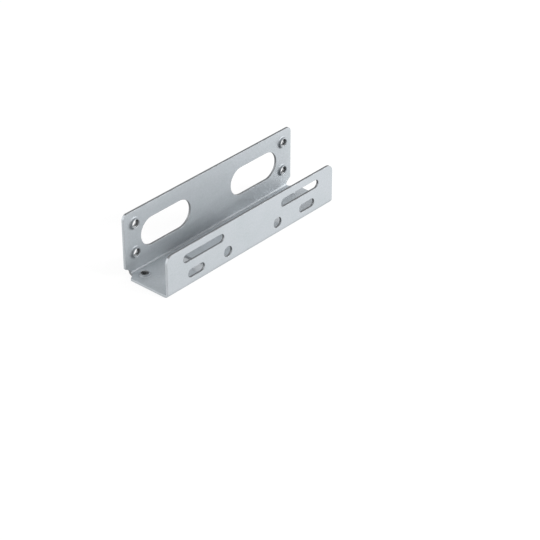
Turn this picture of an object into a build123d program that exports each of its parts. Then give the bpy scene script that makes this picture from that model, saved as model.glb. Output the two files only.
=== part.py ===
from build123d import *
import os

# Drive bay adapter bracket: one folded sheet of zinc-plated steel, a channel with a tall and a low wall.
# Millimetres. X runs along the length, the tall wall stands at +Y, the low wall at -Y, and the base
# rests on Z = 0 with the origin under the middle of the channel.

os.makedirs("parts", exist_ok=True)

# Sheet and its folds
sheet = 1.0
inner_bend_radius = 0.8

# Folded channel, outside to outside
bracket_length = 89.5
bracket_width = 21.7
tall_wall_height = 25.6
low_wall_height = 16.9
tall_corner_radius = 2.0
low_corner_radius = 3.0

# The underside of a mounted drive hangs this far below the bracket's own underside,
# and the standard hole heights of both drive sizes are counted from it
drive_drop = 1.15

# Threaded side holes of a full-size drive, repeated on the tall wall, and the two threaded base holes
thread_diameter = 3.0
bay_hole_spacing = 79.25
bay_hole_heights = (10.0, 21.84)
base_hole_inset = 5.4

# Drawn lip round each threaded hole
lip_height = 1.0
lip_diameter = 3.8
lip_root_radius = 0.75
lip_rim_radius = 0.12
entry_radius = 0.4
mouth_chamfer = 0.2

# Lightening windows of the tall wall
window_length = 25.5
window_height = 11.4
window_spacing = 47.2
window_centre_height = 13.85

# Slots and holes of the low wall for the small drive
slot_width = 3.5
long_slot_length = 21.1
long_slot_spacing = 52.0
long_slot_height = 12.2
short_slot_length = 8.5
short_slot_spacing = 60.0
drive_hole_height = 6.35
round_hole_diameter = 4.2
round_hole_spacing = 27.0

# Relief notch at both ends of the tall wall's bend: how deep it cuts into the bend, how far it reaches
# from the folded corner at the end cut, and where its flank bends, as depth and distance from the corner
relief_depth = 2.35
wall_relief_leg = 3.6
wall_relief_knee = (1.05, 3.05)
base_relief_leg = 3.4
base_relief_knee = (1.7, 2.4)

outer_bend_radius = inner_bend_radius + sheet
half_length = bracket_length / 2
half_width = bracket_width / 2
thread_radius = thread_diameter / 2
lip_radius = lip_diameter / 2
lip_top = sheet + lip_height
lower_row_height = drive_hole_height - drive_drop
threaded_row_heights = [height - drive_drop for height in bay_hole_heights]


def folded_channel():
    """Draws the folded section and runs it along the whole length."""
    with BuildPart() as channel:
        with BuildSketch(Plane.YZ):
            with BuildLine():
                FilletPolyline(
                    (-half_width, low_wall_height),
                    (-half_width, 0),
                    (half_width, 0),
                    (half_width, tall_wall_height),
                    radius=outer_bend_radius,
                )
                offset(amount=sheet, side=Side.LEFT)
            make_face()
        extrude(amount=half_length, both=True)
        across = channel.edges().filter_by(Axis.Y)
        fillet([e for e in across if abs(e.center().Z - tall_wall_height) < sheet / 2], tall_corner_radius)
        across = channel.edges().filter_by(Axis.Y)
        fillet([e for e in across if abs(e.center().Z - low_wall_height) < sheet / 2], low_corner_radius)
    return channel.part


def mid_plane(wall_face_y):
    """Sketch plane half a sheet inside a wall's outer face, its X along the bracket and its Y upwards."""
    inward = sheet / 2 if wall_face_y < 0 else -sheet / 2
    return Plane(origin=(0, wall_face_y + inward, 0), x_dir=(1, 0, 0), z_dir=(0, -1, 0))


def punched(wall_face_y, height, spacing, outline):
    """A pair of punches through a wall, spaced along the bracket at one height."""
    with BuildPart() as punches:
        with BuildSketch(mid_plane(wall_face_y)):
            with Locations((-spacing / 2, height), (spacing / 2, height)):
                outline()
        extrude(amount=sheet, both=True)
    return punches.part


def relief_flare(leg, knee):
    """Corners of the notch on one side of the bend, along the bracket and away from the folded corner."""
    past = 2 * sheet
    tip = half_length - relief_depth
    return [
        (tip, -past),
        (tip, outer_bend_radius),
        (half_length - knee[0], knee[1]),
        (half_length, leg),
        (half_length + past, leg),
        (half_length + past, -past),
    ]


def relief_notch():
    """Cuts the tall wall's lower corner, the end of its bend and the base's corner away at the +X end."""
    with BuildPart() as notch:
        with BuildSketch(Plane.XZ.offset(outer_bend_radius - half_width)):
            with BuildLine():
                Polyline(*relief_flare(wall_relief_leg, wall_relief_knee), close=True)
            make_face()
        extrude(amount=-(outer_bend_radius + sheet))
        with BuildSketch(Plane(origin=(0, half_width, 0), x_dir=(1, 0, 0), z_dir=(0, 0, -1))):
            with BuildLine():
                Polyline(*relief_flare(base_relief_leg, base_relief_knee), close=True)
            make_face()
        extrude(amount=-outer_bend_radius)
    return notch.part


def drawn_lip():
    """Metal drawn out of the sheet round a threaded hole, its axis on Z and the outer face at Z = 0."""
    root = lip_radius + lip_root_radius
    rim = lip_radius - lip_rim_radius
    flank_foot = sheet + lip_root_radius
    flank_head = lip_top - lip_rim_radius
    with BuildPart() as lip:
        with BuildSketch(Plane.XZ):
            with BuildLine():
                Bezier((root, sheet), (lip_radius, sheet), (lip_radius, flank_foot))
                Line((lip_radius, flank_foot), (lip_radius, flank_head))
                Bezier((lip_radius, flank_head), (lip_radius, lip_top), (rim, lip_top))
                Polyline(
                    (rim, lip_top),
                    (thread_radius / 2, lip_top),
                    (thread_radius / 2, sheet / 2),
                    (root, sheet / 2),
                    (root, sheet),
                )
            make_face()
        revolve(axis=Axis.Z)
    return lip.part


def threaded_bore():
    """The hole itself: rounded entry on the outer face, full thread diameter, chamfered mouth on the lip."""
    entry = thread_radius + entry_radius
    mouth = thread_radius + mouth_chamfer
    with BuildPart() as bore:
        with BuildSketch(Plane.XZ):
            with BuildLine():
                Bezier((entry, 0), (thread_radius, 0), (thread_radius, entry_radius))
                Polyline(
                    (thread_radius, entry_radius),
                    (thread_radius, lip_top - mouth_chamfer),
                    (mouth, lip_top),
                    (mouth, lip_top + sheet),
                    (0, lip_top + sheet),
                    (0, -sheet),
                    (entry, -sheet),
                    (entry, 0),
                )
            make_face()
        revolve(axis=Axis.Z)
    return bore.part


def threaded_hole_places():
    """Planes on the outer faces whose Z points into the channel, one for each threaded hole."""
    places = []
    for x in (-bay_hole_spacing / 2, bay_hole_spacing / 2):
        for z in threaded_row_heights:
            places.append(Plane(origin=(x, half_width, z), x_dir=(1, 0, 0), z_dir=(0, -1, 0)))
        places.append(Plane(origin=(x, half_width - base_hole_inset, 0)))
    return places


def window():
    """Outline of a lightening window."""
    SlotOverall(window_length, window_height)


def long_slot():
    """Outline of a long adjusting slot."""
    SlotOverall(long_slot_length, slot_width)


def short_slot():
    """Outline of a short slot for the small drive's side screw."""
    SlotOverall(short_slot_length, slot_width)


def round_hole():
    """Outline of a plain round hole."""
    Circle(round_hole_diameter / 2)


bracket = folded_channel()
notch = relief_notch()
bracket -= notch
bracket -= mirror(notch, about=Plane.YZ)
bracket -= punched(half_width, window_centre_height, window_spacing, window)
bracket -= punched(-half_width, long_slot_height, long_slot_spacing, long_slot)
bracket -= punched(-half_width, lower_row_height, short_slot_spacing, short_slot)
bracket -= punched(-half_width, lower_row_height, round_hole_spacing, round_hole)
for place in threaded_hole_places():
    bracket += place * drawn_lip()
    bracket -= place * threaded_bore()

export_step(bracket, "parts/bracket.step")
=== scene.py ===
"""Dresses the drive bay adapter bracket for its picture, on a plain pale stage.

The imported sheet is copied, two keyholes are punched through its base and the edges of its cut outlines
are rolled. A cut thread is set into each bore, and everything gets a satin zinc plate whose grain follows
the flat blank round the folds. Lengths are in metres.
"""

import logging
import math
from dataclasses import dataclass
from enum import Enum

import bmesh
import bpy
from mathutils import Matrix, Vector


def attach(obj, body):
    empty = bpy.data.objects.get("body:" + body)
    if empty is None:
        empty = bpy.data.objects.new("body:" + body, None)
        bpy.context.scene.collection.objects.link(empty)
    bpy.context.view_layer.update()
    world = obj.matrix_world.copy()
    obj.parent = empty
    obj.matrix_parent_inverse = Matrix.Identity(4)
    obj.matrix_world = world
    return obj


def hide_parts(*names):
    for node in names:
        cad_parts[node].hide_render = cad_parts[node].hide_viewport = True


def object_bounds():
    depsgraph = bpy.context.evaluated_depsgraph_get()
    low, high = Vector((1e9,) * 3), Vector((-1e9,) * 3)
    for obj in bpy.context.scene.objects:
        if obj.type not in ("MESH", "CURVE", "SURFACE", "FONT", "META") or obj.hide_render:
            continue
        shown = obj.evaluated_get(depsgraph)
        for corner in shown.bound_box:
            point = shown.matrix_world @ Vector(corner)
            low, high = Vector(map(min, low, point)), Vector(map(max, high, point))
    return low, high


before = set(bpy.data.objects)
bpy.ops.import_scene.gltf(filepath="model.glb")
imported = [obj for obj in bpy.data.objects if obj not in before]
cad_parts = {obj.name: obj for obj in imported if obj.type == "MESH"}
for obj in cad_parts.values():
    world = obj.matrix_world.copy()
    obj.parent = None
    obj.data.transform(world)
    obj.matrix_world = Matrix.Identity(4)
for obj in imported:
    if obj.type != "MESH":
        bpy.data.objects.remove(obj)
CAD_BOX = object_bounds()

log = logging.getLogger("bracket")

MM = 0.001
NODE = "bracket"
BLANK_ATTRIBUTE = "blank"
# Name of the attribute with the share of painted shade on the lips and in the inner bends
PAINTED_SHADE_ATTRIBUTE = "drawn"
FINE_DETAIL = 3.0

# Sockets of the Mix node by number, because its kinds share their names
MIX_SHARE = 0
MIX_FIRST_VALUE = 2
MIX_SECOND_VALUE = 3
MIX_FIRST_COLOUR = 6
MIX_SECOND_COLOUR = 7
MIXED_COLOUR = 2

Colour = tuple[float, float, float]


class Surface(Enum):
    """The finishes on the sheet, in the order of its material slots."""

    PLATED_FACE = 0
    ROLLED_EDGE = 1
    SHEARED_EDGE = 2
    TAPPED_BORE = 3


class Wall(Enum):
    """The part of the channel that a threaded hole pierces."""

    TALL = "tall wall"
    BASE = "base"


def start_clean() -> None:
    """Leaves edit mode and deselects everything, so that the next operator acts on one new piece."""
    if bpy.context.object and bpy.context.object.mode != "OBJECT":
        bpy.ops.object.mode_set(mode="OBJECT")
    bpy.ops.object.select_all(action="DESELECT")


def make_active(piece: bpy.types.Object) -> None:
    """Selects one piece alone and makes it the active one.

    Args:
        piece: The piece that the next operators act on.
    """
    start_clean()
    piece.select_set(True)
    bpy.context.view_layer.objects.active = piece


def direction(azimuth: float, elevation: float) -> Vector:
    """Turns an azimuth and an elevation into a direction.

    Args:
        azimuth: Degrees from the low wall's side towards the far end.
        elevation: Degrees above the floor.

    Returns:
        The unit vector.
    """
    turn = math.radians(azimuth)
    rise = math.radians(elevation)
    return Vector((math.sin(turn) * math.cos(rise), -math.cos(turn) * math.cos(rise), math.sin(rise)))


class NodeGraph:
    """A material's or world's node tree, with short ways to add and join nodes."""

    def __init__(self, owner: bpy.types.ID) -> None:
        """Starts the owner's tree empty.

        Args:
            owner: The material or world whose tree is made.
        """
        owner.use_nodes = True
        self.tree = owner.node_tree
        self.tree.nodes.clear()

    def add(self, kind: str, inputs: dict[str | int, object] | None = None,
            **settings: object) -> bpy.types.Node:
        """Adds a node.

        Args:
            kind: The node's type, without its ShaderNode prefix.
            inputs: What each input is set to, or the output socket that is joined to it.
            settings: The node's own properties.

        Returns:
            The new node.
        """
        node = self.tree.nodes.new("ShaderNode" + kind)
        for name, value in settings.items():
            setattr(node, name, value)
        for name, value in (inputs or {}).items():
            if isinstance(value, bpy.types.NodeSocket):
                self.tree.links.new(value, node.inputs[name])
            else:
                node.inputs[name].default_value = value
        return node

    def noise(self, place: bpy.types.NodeSocket, period: tuple[float, float, float], detail: float = 2.0,
              roughness: float = 0.5) -> bpy.types.NodeSocket:
        """Adds a noise whose lumps have the given size.

        Args:
            place: The coordinates that the noise reads.
            period: Size of a lump along each of the three coordinates.
            detail: Number of finer octaves.
            roughness: How strong the finer octaves are.

        Returns:
            The noise's value, from 0 to 1.
        """
        mapping = self.add("Mapping", {"Vector": place, "Scale": tuple(1.0 / p for p in period)})
        texture = self.add(
            "TexNoise",
            {"Vector": mapping.outputs["Vector"], "Scale": 1.0, "Detail": detail, "Roughness": roughness},
        )
        return texture.outputs["Fac"]

    def remap(self, value: bpy.types.NodeSocket, source: tuple[float, float],
              target: tuple[float, float]) -> bpy.types.NodeSocket:
        """Adds a clamped change of range.

        Args:
            value: The value to change.
            source: The range that it is read in.
            target: The range that it is given.

        Returns:
            The changed value.
        """
        node = self.add(
            "MapRange",
            {
                "Value": value,
                "From Min": source[0],
                "From Max": source[1],
                "To Min": target[0],
                "To Max": target[1],
            },
        )
        return node.outputs["Result"]

    def blend_colours(self, share: bpy.types.NodeSocket, first: Colour | bpy.types.NodeSocket,
                      second: Colour) -> bpy.types.NodeSocket:
        """Adds a blend from one colour to another.

        Args:
            share: How much of the second colour shows.
            first: Colour at 0, or the output socket that gives it.
            second: Colour at 1.

        Returns:
            The blended colour.
        """
        start = first if isinstance(first, bpy.types.NodeSocket) else (*first, 1.0)
        node = self.add(
            "Mix",
            {MIX_SHARE: share, MIX_FIRST_COLOUR: start, MIX_SECOND_COLOUR: (*second, 1.0)},
            data_type="RGBA",
        )
        return node.outputs[MIXED_COLOUR]

    def bump(self, height: bpy.types.NodeSocket, distance: float,
             under: bpy.types.NodeSocket | None = None) -> bpy.types.NodeSocket:
        """Adds a relief.

        Args:
            height: The relief's height, from 0 to 1.
            distance: How high 1 stands.
            under: The normal of a relief under this one, if any.

        Returns:
            The changed normal.
        """
        inputs = {"Height": height, "Distance": distance, "Strength": 1.0}
        if under is not None:
            inputs["Normal"] = under
        return self.add("Bump", inputs).outputs["Normal"]

    def blank_place(self) -> bpy.types.NodeSocket:
        """Adds the place on the flat blank."""
        return self.add("Attribute", attribute_name=BLANK_ATTRIBUTE).outputs["Vector"]

    def end_in_metal(self, colour: bpy.types.NodeSocket, roughness: bpy.types.NodeSocket,
                     normal: bpy.types.NodeSocket) -> None:
        """Ends the material in bare metal.

        Args:
            colour: The metal's colour.
            roughness: Its roughness.
            normal: The normal of its relief.
        """
        shader = self.add(
            "BsdfPrincipled",
            {"Base Color": colour, "Roughness": roughness, "Normal": normal, "Metallic": 1.0},
        )
        self.add("OutputMaterial", {"Surface": shader.outputs[0]})


@dataclass(frozen=True)
class ZincPlate:
    """Satin zinc plate on rolled steel: fine grain along the strip, faint clouds and a soft mottle.

    It is darker on the flanks and roots of the lips and in the middle of the inner bends: painted shade.
    """

    name: str = "zinc_plated_face"
    light: Colour = (0.455, 0.475, 0.50)
    dark: Colour = (0.395, 0.425, 0.44)
    # Colour of the painted shade on the lips' flanks and roots and in the inner bends
    drawn: Colour = (0.23, 0.245, 0.26)
    roughness: tuple[float, float] = (0.60, 0.70)
    cloud_size: float = 11.0 * MM
    mottle_size: float = 0.7 * MM
    grain_length: float = 7.0 * MM
    grain_width: float = 0.09 * MM
    grain_height: float = 0.0012 * MM
    mottle_height: float = 0.0022 * MM
    tone_range: tuple[float, float] = (1.1, 1.9)

    def make(self) -> bpy.types.Material:
        """Builds the material, whose grain, mottle and clouds follow the flat blank.

        Returns:
            The material for the sheet's faces.
        """
        material = bpy.data.materials.new(self.name)
        graph = NodeGraph(material)
        place = graph.blank_place()
        cloud = graph.noise(place, (self.cloud_size,) * 3)
        mottle = graph.noise(place, (self.mottle_size,) * 3, detail=FINE_DETAIL)
        strand = (self.grain_length, self.grain_width, self.grain_width)
        grain = graph.noise(place, strand, detail=FINE_DETAIL)
        tone = graph.add("Math", {0: cloud, 1: mottle}, operation="ADD").outputs[0]
        tone = graph.add("Math", {0: tone, 1: grain}, operation="ADD").outputs[0]
        share = graph.remap(tone, self.tone_range, (0.0, 1.0))
        colour = graph.blend_colours(share, self.dark, self.light)
        # Painted shade: the plate is darkened where the attribute is set
        painted_shade_share = graph.add("Attribute", attribute_name=PAINTED_SHADE_ATTRIBUTE).outputs["Fac"]
        colour = graph.blend_colours(painted_shade_share, colour, self.drawn)
        rough = graph.remap(tone, self.tone_range, (self.roughness[1], self.roughness[0]))
        relief = graph.bump(mottle, self.mottle_height)
        relief = graph.bump(grain, self.grain_height, relief)
        graph.end_in_metal(colour, rough, relief)
        return material


@dataclass(frozen=True)
class PatchyFinish:
    """Zinc plate that is polished in patches, which are lighter, smoother and a little higher."""

    name: str
    light: Colour
    dark: Colour
    roughness: tuple[float, float]
    patch_size: float
    patch_height: float
    patch_range: tuple[float, float] = (0.35, 0.65)
    patch_detail: float = 4.0
    patch_raggedness: float = 0.6

    def place(self, graph: NodeGraph) -> bpy.types.NodeSocket:
        """Gives the coordinates that the patches follow."""
        return graph.blank_place()

    def make(self) -> bpy.types.Material:
        """Builds the material, its patches drawn by one noise.

        Returns:
            The material.
        """
        material = bpy.data.materials.new(self.name)
        graph = NodeGraph(material)
        period = (self.patch_size,) * 3
        patch = graph.noise(self.place(graph), period, self.patch_detail, self.patch_raggedness)
        share = graph.remap(patch, self.patch_range, (0.0, 1.0))
        graph.end_in_metal(
            graph.blend_colours(share, self.dark, self.light),
            graph.remap(patch, self.patch_range, (self.roughness[1], self.roughness[0])),
            graph.bump(patch, self.patch_height),
        )
        return material


@dataclass(frozen=True)
class RolledEdgeWearAndShadeFinish(PatchyFinish):
    """The rolled rim of a punched outline, where handling has polished the plate a little, painted darker
    than the face as a shade line along the rim.
    """

    name: str = "zinc_rolled_edge_wear_and_painted_shade"
    # Darker than the face: painted shade along the rims
    light: Colour = (0.34, 0.355, 0.37)
    dark: Colour = (0.25, 0.26, 0.27)
    roughness: tuple[float, float] = (0.56, 0.66)
    patch_size: float = 2.5 * MM
    patch_height: float = 0.004 * MM


@dataclass(frozen=True)
class ThreadPaintedShadeFinish(PatchyFinish):
    """Zinc plate in the tapped bores and on the cut threads, patchy at the scale of the thread and painted
    near black as the shade inside the bores.
    """

    name: str = "zinc_cut_thread_painted_shade"
    # Near black: painted shade inside the bores
    light: Colour = (0.17, 0.175, 0.18)
    dark: Colour = (0.07, 0.072, 0.075)
    roughness: tuple[float, float] = (0.32, 0.48)
    patch_size: float = 0.35 * MM
    patch_height: float = 0.003 * MM

    def place(self, graph: NodeGraph) -> bpy.types.NodeSocket:
        """Gives the place in space, because a thread doesn't lie on the flat blank."""
        return graph.add("TexCoord").outputs["Object"]


@dataclass(frozen=True)
class ShearedEdgeAndShadeFinish:
    """The cut through the sheet: a burnished band by the outer face and a matt, torn zone behind it, both
    dark partly as torn steel is and partly as painted shade.
    """

    name: str = "zinc_sheared_edge_and_painted_shade"
    # Dark partly as torn steel and partly as painted shade
    burnished: Colour = (0.21, 0.22, 0.23)
    torn: Colour = (0.16, 0.165, 0.17)
    burnished_roughness: float = 0.48
    torn_roughness: float = 0.58
    band_depth: float = 0.42 * MM
    band_waver: float = 0.10 * MM
    streak_width: float = 0.07 * MM
    streak_length: float = 1.5 * MM
    streak_height: float = 0.006 * MM
    waver_size: tuple[float, float, float] = (1.2 * MM, 1.2 * MM, 4.0 * MM)
    waver_range: tuple[float, float] = (0.3, 0.7)
    band_edge: tuple[float, float] = (0.03 * MM, 0.05 * MM)

    def make(self) -> bpy.types.Material:
        """Builds the material from the depth under the outer face and streaks through the sheet.

        Returns:
            The material for the cuts.
        """
        material = bpy.data.materials.new(self.name)
        graph = NodeGraph(material)
        place = graph.blank_place()
        depth = graph.add("SeparateXYZ", {0: place}).outputs["Z"]
        waver = graph.noise(place, self.waver_size, detail=FINE_DETAIL)
        shift = graph.remap(waver, self.waver_range, (-self.band_waver, self.band_waver))
        line = graph.add("Math", {0: depth, 1: shift}, operation="ADD").outputs[0]
        fade = (self.band_depth - self.band_edge[0], self.band_depth + self.band_edge[1])
        torn = graph.remap(line, fade, (0.0, 1.0))
        streak = (self.streak_width, self.streak_width, self.streak_length)
        streaks = graph.noise(place, streak, detail=FINE_DETAIL)
        graph.end_in_metal(
            graph.blend_colours(torn, self.burnished, self.torn),
            graph.remap(torn, (0.0, 1.0), (self.burnished_roughness, self.torn_roughness)),
            graph.bump(streaks, self.streak_height),
        )
        return material


@dataclass(frozen=True)
class ThreadedHole:
    """One drawn and tapped hole: where its axis meets the outer face, and what it pierces."""

    place: Vector
    wall: Wall

    def seat(self) -> Matrix:
        """Finds the turn and shift that bring a thread cut along +Z into this hole.

        Returns:
            The matrix that moves the thread's mesh.
        """
        if self.wall is Wall.TALL:
            return Matrix.Translation(self.place) @ Matrix.Rotation(math.radians(90.0), 4, "X")
        return Matrix.Translation(self.place)

    def measure(self, point: Vector) -> tuple[float, float]:
        """Measures a point from this hole.

        Args:
            point: A point in or on the folded sheet.

        Returns:
            Distance from the hole's axis, and height above the outer face, counted into the channel.
        """
        offset = point - self.place
        if self.wall is Wall.TALL:
            return math.hypot(offset.x, offset.z), -offset.y
        return math.hypot(offset.x, offset.y), offset.z


@dataclass(frozen=True)
class BaseKeyholes:
    """The two keyholes across the base, a head hole near the low wall and a slot towards the tall one."""

    spacing: float = 44.45 * MM
    head_radius: float = 3.6 * MM
    head_place: float = -5.9 * MM
    slot_radius: float = 1.75 * MM
    slot_end: float = 4.85 * MM
    punch_height: float = 6.0 * MM
    punch_sides: int = 66

    def punch(self, radius: float, x: float, y: float, stretch: float) -> bpy.types.Object:
        """Makes a round punch that stands through the base, drawn out towards +Y.

        Args:
            radius: The punch's radius.
            x: Place of its axis along the bracket.
            y: Place of its axis across the bracket.
            stretch: How far its +Y half is moved away from the other half.

        Returns:
            The punch.
        """
        start_clean()
        bpy.ops.mesh.primitive_cylinder_add(
            vertices=self.punch_sides,
            radius=radius,
            depth=self.punch_height,
            location=(x, y, 0.0),
        )
        punch = bpy.context.object
        for vertex in punch.data.vertices:
            if vertex.co.y > 0.0:
                vertex.co.y += stretch
        return punch

    def cut_from(self, piece: bpy.types.Object) -> None:
        """Punches both keyholes.

        Args:
            piece: The closed sheet.
        """
        slot_and_head = (
            (self.slot_radius, self.slot_end - self.head_place),
            (self.head_radius, 0.0),
        )
        for x in (-self.spacing / 2, self.spacing / 2):
            for radius, stretch in slot_and_head:
                punch = self.punch(radius, x, self.head_place, stretch)
                make_active(piece)
                cut = piece.modifiers.new("keyhole", "BOOLEAN")
                cut.operation = "DIFFERENCE"
                cut.solver = "EXACT"
                cut.object = punch
                bpy.ops.object.modifier_apply(modifier=cut.name)
                bpy.data.objects.remove(punch)


@dataclass(frozen=True)
class FoldedSheet:
    """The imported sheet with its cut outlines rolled, and the way back to its flat blank."""

    half_length: float = (CAD_BOX[1].x - CAD_BOX[0].x) / 2
    half_width: float = (CAD_BOX[1].y - CAD_BOX[0].y) / 2
    thickness: float = 1.0 * MM
    outer_bend_radius: float = 1.8 * MM
    bay_hole_spacing: float = 79.25 * MM
    threaded_row_heights: tuple[float, float] = (8.85 * MM, 20.69 * MM)
    base_hole_inset: float = 5.4 * MM
    lip_height: float = 1.0 * MM
    lip_radius: float = 1.9 * MM
    lip_reach: float = 2.7 * MM
    lip_depth: float = 3.0 * MM
    lip_foot: float = 0.1 * MM
    lip_rim: float = 0.2 * MM
    # Strength of the painted shade on a base lip, as a share of a wall lip's
    base_lip_painted_shade: float = 0.65
    # Strength of the painted shade in the middle of an inner bend
    bend_painted_shade: float = 0.55
    bore_reach: float = 1.52 * MM
    end_reach: float = 1.2 * MM
    end_facing: float = 0.3
    cut_facing: float = 0.2
    rolled_radius: float = 0.12 * MM
    rolled_segments: int = 3
    merge_distance: float = 0.001 * MM
    flat_limit: float = math.radians(0.2)
    sharp_limit: float = math.radians(35.0)

    def threaded_holes(self) -> list[ThreadedHole]:
        """Lists the four holes of the tall wall and the two of the base.

        Returns:
            The threaded holes, one end of the bracket after the other.
        """
        holes = []
        for x in (-self.bay_hole_spacing / 2, self.bay_hole_spacing / 2):
            for height in self.threaded_row_heights:
                holes.append(ThreadedHole(Vector((x, self.half_width, height)), Wall.TALL))
            holes.append(ThreadedHole(Vector((x, self.half_width - self.base_hole_inset, 0.0)), Wall.BASE))
        return holes

    def unfold(self, point: Vector) -> Vector:
        """Finds a point's place on the flat blank.

        Args:
            point: A point in or on the folded sheet.

        Returns:
            Place along the bracket, place across the blank from the middle of the base, and depth under
            the outer face.
        """
        radius = self.outer_bend_radius
        half_base = self.half_width - radius
        middle_radius = radius - self.thickness / 2
        side = math.copysign(1.0, point.y)
        outward = abs(point.y) - half_base
        if outward <= 0.0 and point.z < self.lowest_wall_reach():
            return Vector((point.x, point.y, point.z))
        if point.z >= radius:
            across = half_base + middle_radius * math.pi / 2 + point.z - radius
            return Vector((point.x, side * across, radius - outward))
        angle = math.atan2(max(outward, 0.0), radius - point.z)
        depth = radius - math.hypot(outward, radius - point.z)
        return Vector((point.x, side * (half_base + middle_radius * angle), depth))

    def lowest_wall_reach(self) -> float:
        """Height under which a point inside the bends belongs to the base or to a lip on it."""
        return self.outer_bend_radius + self.thickness / 2

    def depth_direction(self, point: Vector) -> Vector:
        """Gives the direction through the sheet at a point.

        Args:
            point: A point in or on the folded sheet.

        Returns:
            The unit vector square to the sheet there.
        """
        radius = self.outer_bend_radius
        outward = abs(point.y) - (self.half_width - radius)
        side = math.copysign(1.0, point.y)
        if outward <= 0.0 and point.z < self.lowest_wall_reach():
            return Vector((0.0, 0.0, 1.0))
        if point.z >= radius:
            return Vector((0.0, side, 0.0))
        return Vector((0.0, side * outward, point.z - radius)).normalized()

    def near_thread(self, point: Vector, holes: list[ThreadedHole]) -> bool:
        """Says whether a point is on a drawn lip or in its bore.

        Args:
            point: A point in or on the folded sheet.
            holes: The threaded holes.

        Returns:
            True inside the reach of a lip's root.
        """
        for hole in holes:
            distance, height = hole.measure(point)
            if distance < self.lip_reach and abs(height) <= self.lip_depth:
                return True
        return False

    def painted_lip_shade(self, point: Vector, holes: list[ThreadedHole]) -> float:
        """Finds how much painted shade a point carries on a lip's flank and root.

        Args:
            point: A point on the folded sheet.
            holes: The threaded holes.

        Returns:
            1 on a wall lip's flank and less on a base lip's, falling to 0 at the foot of its root, on its
            rim and everywhere else.
        """
        for hole in holes:
            distance, height = hole.measure(point)
            above = height - self.thickness
            inward = self.lip_reach - distance
            if inward > 0.0 and -self.lip_foot < above < 2.0 * self.lip_height:
                # The painted shade is full on a wall lip and weaker on a base lip
                stretch = 1.0 if hole.wall is Wall.TALL else self.base_lip_painted_shade
                root = min(inward / (self.lip_reach - self.lip_radius), 1.0)
                rim = min(max((self.lip_height - above) / self.lip_rim, 0.0), 1.0)
                return stretch * root * rim
        return 0.0

    def painted_bend_shade(self, point: Vector) -> float:
        """Finds how much painted shade a point carries inside a bend, which dims the bend's highlight.

        Args:
            point: A point on the folded sheet.

        Returns:
            Greatest in the middle of a bend's inner face, and 0 at its flanks and everywhere else.
        """
        radius = self.outer_bend_radius
        outward = abs(point.y) - (self.half_width - radius)
        inner_radius = radius - self.thickness
        reach = math.hypot(outward, radius - point.z)
        if outward <= 0.0 or point.z >= radius or reach > inner_radius + self.merge_distance:
            return 0.0
        angle = math.atan2(outward, radius - point.z)
        # Painted shade, strongest halfway round the inner bend
        return self.bend_painted_shade * math.sin(2.0 * angle)

    def in_bore(self, point: Vector, holes: list[ThreadedHole]) -> bool:
        """Says whether a point is on the wall of a tapped bore.

        Args:
            point: A point on the folded sheet.
            holes: The threaded holes.

        Returns:
            True for the bore's wall and the innermost part of its entry and mouth.
        """
        return any(hole.measure(point)[0] < self.bore_reach for hole in holes)

    def roll_edges(self, piece: bpy.types.Object, holes: list[ThreadedHole]) -> None:
        """Merges the copy's loose triangles, punches the keyholes and rolls the edges of the outlines.

        Args:
            piece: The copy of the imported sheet.
            holes: The threaded holes, whose edges are left as they are.
        """
        make_active(piece)
        bpy.ops.object.mode_set(mode="EDIT")
        bpy.ops.mesh.select_mode(type="EDGE")
        bpy.ops.mesh.select_all(action="SELECT")
        bpy.ops.mesh.remove_doubles(threshold=self.merge_distance)
        bpy.ops.object.mode_set(mode="OBJECT")
        BaseKeyholes().cut_from(piece)
        bpy.ops.object.mode_set(mode="EDIT")
        bpy.ops.mesh.select_all(action="SELECT")
        bpy.ops.mesh.dissolve_limited(angle_limit=self.flat_limit)
        bpy.ops.mesh.select_all(action="DESELECT")
        bpy.ops.mesh.edges_select_sharp(sharpness=self.sharp_limit)
        shape = bmesh.from_edit_mesh(piece.data)
        for edge in shape.edges:
            if edge.select and self.near_thread((edge.verts[0].co + edge.verts[1].co) / 2, holes):
                edge.select = False
        shape.select_flush_mode()
        bmesh.update_edit_mesh(piece.data)
        bpy.ops.mesh.bevel(
            offset=self.rolled_radius,
            segments=self.rolled_segments,
            profile=0.5,
            affect="EDGES",
            clamp_overlap=False,
            loop_slide=False,
            material=Surface.ROLLED_EDGE.value,
        )
        bpy.ops.object.mode_set(mode="OBJECT")

    def in_end_cut(self, face: bpy.types.MeshPolygon) -> bool:
        """Says whether a face belongs to the cut at one end of the bracket.

        Args:
            face: A face of the sheet.

        Returns:
            True near an end, where the face looks along the bracket.
        """
        near_end = abs(face.center.x) > self.half_length - self.end_reach
        return near_end and abs(face.normal.x) > self.end_facing

    def is_sheared(self, face: bpy.types.MeshPolygon, holes: list[ThreadedHole]) -> bool:
        """Says whether a face cuts through the sheet and shows the marks of the shears.

        Args:
            face: A face of the sheet.
            holes: The threaded holes, whose faces are drawn and not sheared.

        Returns:
            True for such a cut, apart from the keyholes' cuts, which the plate covers.
        """
        half_base = self.half_width - self.outer_bend_radius
        in_base = face.center.z < self.thickness and abs(face.center.y) < half_base
        across = abs(face.normal.dot(self.depth_direction(face.center)))
        return across < self.cut_facing and not in_base and not self.near_thread(face.center, holes)

    def mark_faces(self, piece: bpy.types.Object, holes: list[ThreadedHole]) -> None:
        """Gives the bores and the cuts through the sheet their darker finishes, painted shade, while the
        cuts at the ends keep the lighter face finish as painted light.

        Args:
            piece: The sheet, its outlines rolled.
            holes: The threaded holes.
        """
        for face in piece.data.polygons:
            # The bores get the near-black thread finish, a painted shade
            if self.in_bore(face.center, holes):
                face.material_index = Surface.TAPPED_BORE.value
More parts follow.
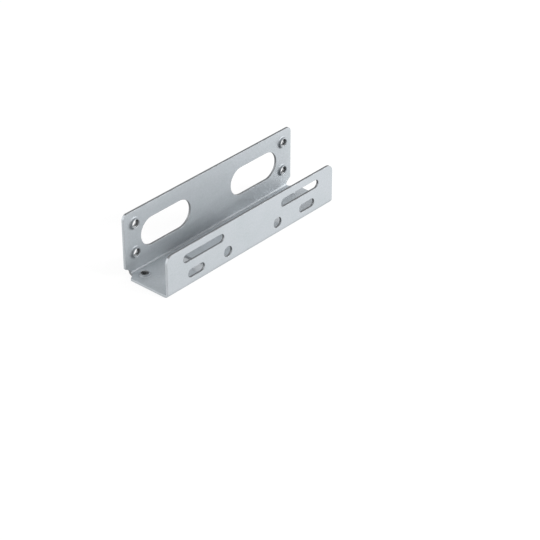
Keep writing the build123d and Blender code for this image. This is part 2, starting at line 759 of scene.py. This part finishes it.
            # The end cuts keep the lighter plate: painted light on these cuts
            elif self.in_end_cut(face):
                face.material_index = Surface.PLATED_FACE.value
            elif face.material_index == Surface.PLATED_FACE.value and self.is_sheared(face, holes):
                face.material_index = Surface.SHEARED_EDGE.value

    def write_blank_places(self, piece: bpy.types.Object, holes: list[ThreadedHole]) -> None:
        """Keeps each vertex's place on the flat blank and how much painted shade it carries, which the
        finishes read.

        Args:
            piece: The finished sheet.
            holes: The threaded holes.
        """
        attributes = piece.data.attributes
        attributes.new(BLANK_ATTRIBUTE, "FLOAT_VECTOR", "POINT")
        attributes.new(PAINTED_SHADE_ATTRIBUTE, "FLOAT", "POINT")
        places = attributes[BLANK_ATTRIBUTE].data
        shares = attributes[PAINTED_SHADE_ATTRIBUTE].data
        for vertex, place, share in zip(piece.data.vertices, places, shares):
            place.vector = self.unfold(vertex.co)
            share.value = max(self.painted_lip_shade(vertex.co, holes), self.painted_bend_shade(vertex.co))

    def build(self) -> bpy.types.Object:
        """Makes the dressed sheet.

        Returns:
            The sheet as one mesh at the origin.
        """
        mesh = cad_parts[NODE].data.copy()
        mesh.name = "dressed_bracket"
        piece = bpy.data.objects.new("dressed_bracket", mesh)
        bpy.context.scene.collection.objects.link(piece)
        mesh.materials.clear()
        for finish in (ZincPlate(), RolledEdgeWearAndShadeFinish(), ShearedEdgeAndShadeFinish(), ThreadPaintedShadeFinish()):
            mesh.materials.append(finish.make())
        holes = self.threaded_holes()
        self.roll_edges(piece, holes)
        self.mark_faces(piece, holes)
        make_active(piece)
        bpy.ops.object.shade_smooth_by_angle(angle=self.sharp_limit)
        weighted = piece.modifiers.new("weighted_normals", "WEIGHTED_NORMAL")
        weighted.keep_sharp = True
        bpy.ops.object.modifier_apply(modifier=weighted.name)
        self.write_blank_places(piece, holes)
        return piece


@dataclass(frozen=True)
class CutThread:
    """The coarse M3 ridge inside a tapped hole, running out into the wall at the entry and at the mouth."""

    pitch: float = 0.5 * MM
    bore_radius: float = 1.5 * MM
    entry_depth: float = 0.4 * MM
    crest_radius: float = 1.24 * MM
    crest_width: float = 0.125 * MM
    root_width: float = 0.44 * MM
    bedding: float = 0.04 * MM
    first: float = 0.48 * MM
    last: float = 1.58 * MM
    run_out: float = 0.35 * MM
    steps_a_turn: int = 44
    sharp_limit: float = math.radians(25.0)

    def profile(self) -> bpy.types.Object:
        """Draws the ridge's section, a plane narrowed towards the crest.

        Returns:
            The section as a loop of four edges in the XZ plane.
        """
        start_clean()
        base = self.bore_radius + self.bedding
        middle = (base + self.crest_radius) / 2
        bpy.ops.mesh.primitive_plane_add(size=1.0)
        section = bpy.context.object
        bpy.ops.object.mode_set(mode="EDIT")
        bpy.ops.transform.rotate(value=math.pi / 2, orient_axis="X", center_override=(0.0, 0.0, 0.0))
        bpy.ops.transform.resize(
            value=(base - self.crest_radius, 1.0, self.root_width),
            center_override=(0.0, 0.0, 0.0),
        )
        bpy.ops.transform.translate(value=(middle, 0.0, self.first))
        bpy.ops.mesh.select_mode(type="EDGE")
        bpy.ops.mesh.select_all(action="DESELECT")
        shape = bmesh.from_edit_mesh(section.data)
        for edge in shape.edges:
            edge.select = all(vertex.co.x < middle for vertex in edge.verts)
        shape.select_flush_mode()
        bmesh.update_edit_mesh(section.data)
        bpy.ops.transform.resize(
            value=(1.0, 1.0, self.crest_width / self.root_width),
            center_override=(middle, 0.0, self.first),
        )
        bpy.ops.mesh.select_all(action="SELECT")
        bpy.ops.mesh.delete(type="ONLY_FACE")
        bpy.ops.object.mode_set(mode="OBJECT")
        return section

    def least_radius(self, height: float) -> float:
        """Finds how near the axis the ridge may come at a height.

        Args:
            height: Distance from the outer face along the bore.

        Returns:
            The least radius there: the crest's in the middle, and just inside the metal at both ends.
        """
        hidden = self.bore_radius + self.bedding
        if height < self.entry_depth:
            widening = 1.0 - height / self.entry_depth
            return hidden + self.entry_depth * widening**2
        to_end = min(height - self.entry_depth, self.last + self.root_width / 2 - height)
        share = min(max(to_end / self.run_out, 0.0), 1.0)
        return hidden + (self.crest_radius - hidden) * share

    def build(self) -> bpy.types.Object:
        """Winds the section up the bore, closes its ends and sinks them into the metal.

        Returns:
            One closed ridge along +Z, the sheet's outer face being at Z = 0.
        """
        ridge = self.profile()
        ridge.name = "cut_thread"
        ridge.data.name = "cut_thread"
        turns = (self.last - self.first) / self.pitch
        winding = ridge.modifiers.new("winding", "SCREW")
        winding.axis = "Z"
        winding.angle = turns * 2 * math.pi
        winding.screw_offset = self.last - self.first
        winding.steps = round(turns * self.steps_a_turn)
        winding.render_steps = winding.steps
        bpy.ops.object.modifier_apply(modifier=winding.name)
        bpy.ops.object.mode_set(mode="EDIT")
        bpy.ops.mesh.select_all(action="SELECT")
        bpy.ops.mesh.fill_holes(sides=4)
        bpy.ops.mesh.select_all(action="SELECT")
        bpy.ops.mesh.normals_make_consistent(inside=False)
        bpy.ops.object.mode_set(mode="OBJECT")
        for vertex in ridge.data.vertices:
            radius = math.hypot(vertex.co.x, vertex.co.y)
            least = self.least_radius(vertex.co.z)
            if radius < least:
                vertex.co.x *= least / radius
                vertex.co.y *= least / radius
        ridge.data.materials.append(ThreadPaintedShadeFinish().make())
        bpy.ops.object.shade_smooth_by_angle(angle=self.sharp_limit)
        return ridge

    def place_in(self, holes: list[ThreadedHole]) -> list[bpy.types.Object]:
        """Copies the ridge into each hole, every copy with its own mesh.

        Args:
            holes: The threaded holes.

        Returns:
            One ridge for each hole.
        """
        ridge = self.build()
        copies = []
        for number, hole in enumerate(holes, start=1):
            mesh = ridge.data.copy()
            mesh.transform(hole.seat())
            mesh.name = f"cut_thread_{number}"
            copy = bpy.data.objects.new(f"cut_thread_{number}", mesh)
            bpy.context.scene.collection.objects.link(copy)
            copies.append(copy)
        bpy.data.objects.remove(ridge)
        return copies


@dataclass(frozen=True)
class Lamp:
    """One square soft lamp that faces the origin, with its azimuth and elevation in degrees.

    Its light is what it throws on a surface at the origin that faces it.
    """

    name: str
    azimuth: float
    elevation: float
    size: float
    light: float
    distance: float = 0.85

    def hang(self) -> None:
        """Adds the lamp to the scene."""
        towards = direction(self.azimuth, self.elevation)
        start_clean()
        bpy.ops.object.light_add(type="AREA", location=towards * self.distance)
        lamp = bpy.context.object
        lamp.name = self.name
        lamp.data.shape = "SQUARE"
        lamp.data.size = self.size
        lamp.data.energy = self.light * math.pi * self.distance**2
        lamp.rotation_euler = towards.to_track_quat("Z", "Y").to_euler()


@dataclass(frozen=True)
class Stage:
    """A pale floor that shows as white, keeps a faint shadow and has a grey painted shadow under the
    bracket, a white surround and soft lamps.
    """

    floor_size: float = 6.0
    floor_gap: float = 0.02 * MM
    floor_colour: Colour = (0.90, 0.90, 0.90)
    shadow_share: float = 0.14
    # Reach and colour of the grey painted shadow on the floor under the bracket
    painted_shadow_reach: tuple[float, float] = (40.0 * MM, 9.0 * MM)
    painted_shadow_colour: Colour = (0.58, 0.60, 0.62)
    white: float = 1.0
    ambient: float = 0.85
    lamps: tuple[Lamp, ...] = (
        Lamp("front_lamp", azimuth=20.0, elevation=30.0, size=0.25, light=2.3),
        Lamp("right_lamp", azimuth=42.0, elevation=20.0, size=0.34, light=2.0),
        Lamp("left_lamp", azimuth=-120.0, elevation=20.0, size=0.70, light=1.9),
    )

    def seen(self, graph: NodeGraph) -> bpy.types.NodeSocket:
        """Adds the test for rays that show the background: to the camera, in gloss and through glass.

        Args:
            graph: The tree that the test is added to.

        Returns:
            1 for such a ray and 0 for all others.
        """
        path = graph.add("LightPath")
        either = graph.add(
            "Math",
            {0: path.outputs["Is Camera Ray"], 1: path.outputs["Is Glossy Ray"]},
            operation="MAXIMUM",
        )
        return graph.add(
            "Math",
            {0: either.outputs[0], 1: path.outputs["Is Transmission Ray"]},
            operation="MAXIMUM",
        ).outputs[0]

    def outside_painted_shadow(self, graph: NodeGraph) -> bpy.types.NodeSocket:
        """Adds the test for places on the floor outside the grey painted shadow under the bracket.

        Args:
            graph: The floor's tree.

        Returns:
            0 under the bracket and 1 elsewhere.
        """
        place = graph.add("SeparateXYZ", {0: graph.add("TexCoord").outputs["Object"]})
        beyond = []
        for axis, reach in enumerate(self.painted_shadow_reach):
            away = graph.add("Math", {0: place.outputs[axis]}, operation="ABSOLUTE").outputs[0]
            beyond.append(graph.add("Math", {0: away, 1: reach}, operation="GREATER_THAN").outputs[0])
        return graph.add("Math", {0: beyond[0], 1: beyond[1]}, operation="MAXIMUM").outputs[0]

    def floor(self) -> bpy.types.Object:
        """Lays the floor.

        Returns:
            The floor.
        """
        start_clean()
        bpy.ops.mesh.primitive_plane_add(size=self.floor_size, location=(0.0, 0.0, -self.floor_gap))
        floor = bpy.context.object
        floor.name = "floor"
        material = bpy.data.materials.new("pale_floor")
        graph = NodeGraph(material)
        outside_painted_shadow = self.outside_painted_shadow(graph)
        # Painted shadow: the floor under the bracket is grey and doesn't glow white
        colour = graph.blend_colours(outside_painted_shadow, self.painted_shadow_colour, self.floor_colour)
        diffuse = graph.add("BsdfDiffuse", {"Color": colour})
        glow = graph.add("Emission", {"Color": (1.0, 1.0, 1.0, 1.0), "Strength": self.white})
        shown = graph.add(
            "MixShader",
            {0: 1.0 - self.shadow_share, 1: diffuse.outputs[0], 2: glow.outputs[0]},
        )
        share = graph.add("Math", {0: self.seen(graph), 1: outside_painted_shadow}, operation="MULTIPLY")
        surface = graph.add(
            "MixShader",
            {0: share.outputs[0], 1: diffuse.outputs[0], 2: shown.outputs[0]},
        )
        graph.add("OutputMaterial", {"Surface": surface.outputs[0]})
        floor.data.materials.append(material)
        return floor

    def surround(self) -> None:
        """Makes the world white where it is seen, and a soft ambient light elsewhere."""
        world = bpy.data.worlds.new("white_surround")
        graph = NodeGraph(world)
        strength = graph.add(
            "Mix",
            {MIX_SHARE: self.seen(graph), MIX_FIRST_VALUE: self.ambient, MIX_SECOND_VALUE: self.white},
        )
        shade = graph.add("Background", {"Color": (1.0, 1.0, 1.0, 1.0), "Strength": strength.outputs[0]})
        graph.add("OutputWorld", {"Surface": shade.outputs[0]})
        bpy.context.scene.world = world

    def build(self) -> None:
        """Lays the floor, sets the surround and hangs the lamps."""
        self.floor()
        self.surround()
        for lamp in self.lamps:
            lamp.hang()


@dataclass(frozen=True)
class PhotoCamera:
    """The camera at the photograph's angle, distance and framing."""

    azimuth: float = -48.75
    elevation: float = 32.24
    distance: float = 690.46 * MM
    aim: tuple[float, float, float] = (4.80 * MM, -14.73 * MM, -9.68 * MM)
    focal_length: float = 125.24
    film_width: float = 36.0
    clip: tuple[float, float] = (0.01, 20.0)

    def build(self) -> bpy.types.Object:
        """Makes it the scene's camera.

        Returns:
            The camera.
        """
        back = direction(self.azimuth, self.elevation)
        start_clean()
        bpy.ops.object.camera_add(
            location=Vector(self.aim) + back * self.distance,
            rotation=(math.radians(90.0 - self.elevation), 0.0, math.radians(self.azimuth)),
        )
        camera = bpy.context.object
        camera.name = "photo_camera"
        camera.data.lens = self.focal_length
        camera.data.sensor_width = self.film_width
        camera.data.clip_start, camera.data.clip_end = self.clip
        bpy.context.scene.camera = camera
        return camera


def main() -> None:
    """Builds the camera, the stage and the dressed bracket, and seats each piece on the frame."""
    logging.basicConfig(level=logging.INFO, format="%(message)s")
    bpy.context.scene.view_settings.view_transform = "Standard"
    PhotoCamera().build()
    Stage().build()
    sheet = FoldedSheet()
    piece = sheet.build()
    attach(piece, "root")
    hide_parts(NODE)
    log.info("%s: %d faces", piece.name, len(piece.data.polygons))
    for thread in CutThread().place_in(sheet.threaded_holes()):
        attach(thread, "root")
        log.info("%s: %d faces", thread.name, len(thread.data.polygons))
    start_clean()


if __name__ == "__main__":
    main()
